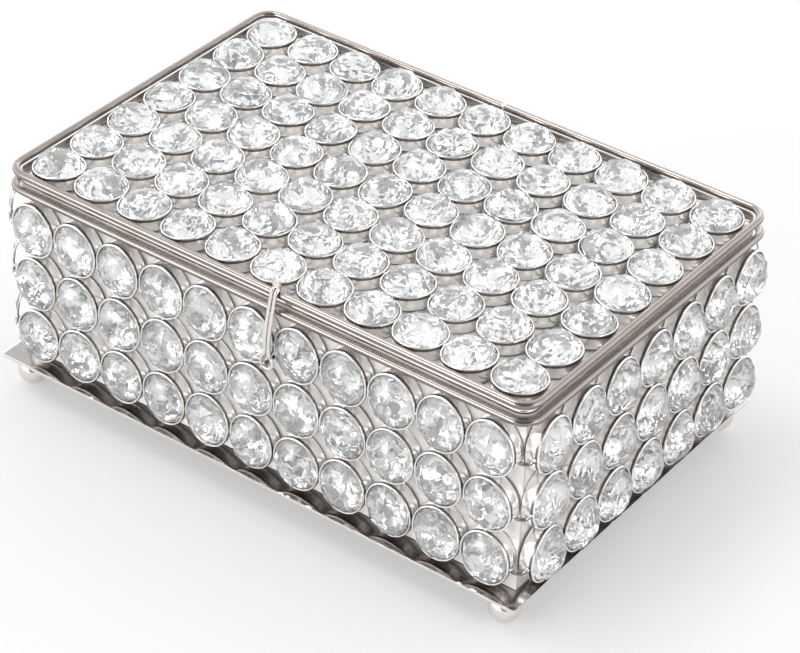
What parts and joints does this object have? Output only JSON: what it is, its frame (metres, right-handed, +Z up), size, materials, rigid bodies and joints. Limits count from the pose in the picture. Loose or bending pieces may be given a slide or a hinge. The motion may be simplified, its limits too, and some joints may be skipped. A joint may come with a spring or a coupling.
{
  "type": "vanity trinket box",
  "caption": "Rectangular hinged trinket box clad in ring-set faceted crystals, with a wire rim, ball feet and a wire hasp.",
  "frame": {"origin": "on the ground, under the middle of the box", "axes": "+Z up, +X along the long side, the hasp side faces -Y and the hinges are on the +Y side"},
  "size_m": [0.2064, 0.1388, 0.0839],
  "materials": {
    "nickel_wire": "polished nickel-plated steel wire, warm grey",
    "nickel_sheet": "polished nickel-plated steel sheet with a faint satin grain",
    "stones": "clear faceted crystal in thin polished nickel rings",
    "velvet": "short-pile grey velvet"
  },
  "bodies": {
    "case": {"base_plate": "nickel_sheet", "foot_front_left": "nickel_sheet", "foot_front_right": "nickel_sheet", "foot_back_left": "nickel_sheet", "foot_back_right": "nickel_sheet", "wall_front": "nickel_sheet", "wall_right": "nickel_sheet", "wall_back": "nickel_sheet", "wall_left": "nickel_sheet", "rim_flange": "nickel_sheet", "rim_wire": "nickel_wire", "lining_floor": "velvet", "lining_front": "velvet", "lining_right": "velvet", "lining_back": "velvet", "lining_left": "velvet", "stone_row_front_1": "stones", "stone_row_front_2": "stones", "stone_row_front_3": "stones", "stone_row_right_1": "stones", "stone_row_right_2": "stones", "stone_row_right_3": "stones", "stone_row_back_1": "stones", "stone_row_back_2": "stones", "stone_row_back_3": "stones", "stone_row_left_1": "stones", "stone_row_left_2": "stones", "stone_row_left_3": "stones", "corner_link_front_right_1": "nickel_wire", "corner_link_front_right_2": "nickel_wire", "corner_link_front_right_3": "nickel_wire", "corner_link_back_right_1": "nickel_wire", "corner_link_back_right_2": "nickel_wire", "corner_link_back_right_3": "nickel_wire", "corner_link_back_left_1": "nickel_wire", "corner_link_back_left_2": "nickel_wire", "corner_link_back_left_3": "nickel_wire", "corner_link_front_left_1": "nickel_wire", "corner_link_front_left_2": "nickel_wire", "corner_link_front_left_3": "nickel_wire", "hasp_stud": "nickel_wire", "hinge_left_case_leaf": "nickel_sheet", "hinge_left_pin": "nickel_wire", "hinge_right_case_leaf": "nickel_sheet", "hinge_right_pin": "nickel_wire"},
    "lid": {"lid_plate": "nickel_sheet", "lid_skirt": "nickel_sheet", "lid_lining": "velvet", "lid_wire": "nickel_wire", "hinge_left_lid_leaf": "nickel_sheet", "hinge_right_lid_leaf": "nickel_sheet", "stone_row_lid_1": "stones", "stone_row_lid_2": "stones", "stone_row_lid_3": "stones", "stone_row_lid_4": "stones", "stone_row_lid_5": "stones", "stone_row_lid_6": "stones", "stone_row_lid_7": "stones"},
    "hasp": {"hasp": "nickel_wire"}
  },
  "joints": [
    {"name": "lid_hinge", "type": "hinge", "parent": "case", "child": "lid", "pos_m": [0, 0.0654, 0.0748], "axis": [-1, 0, 0], "range_deg": [0, 105]},
    {"name": "hasp_pivot", "type": "hinge", "parent": "lid", "child": "hasp", "pos_m": [0.0085, -0.0619, 0.0776], "axis": [-1, 0, 0], "range_deg": [0, 80]}
  ]
}
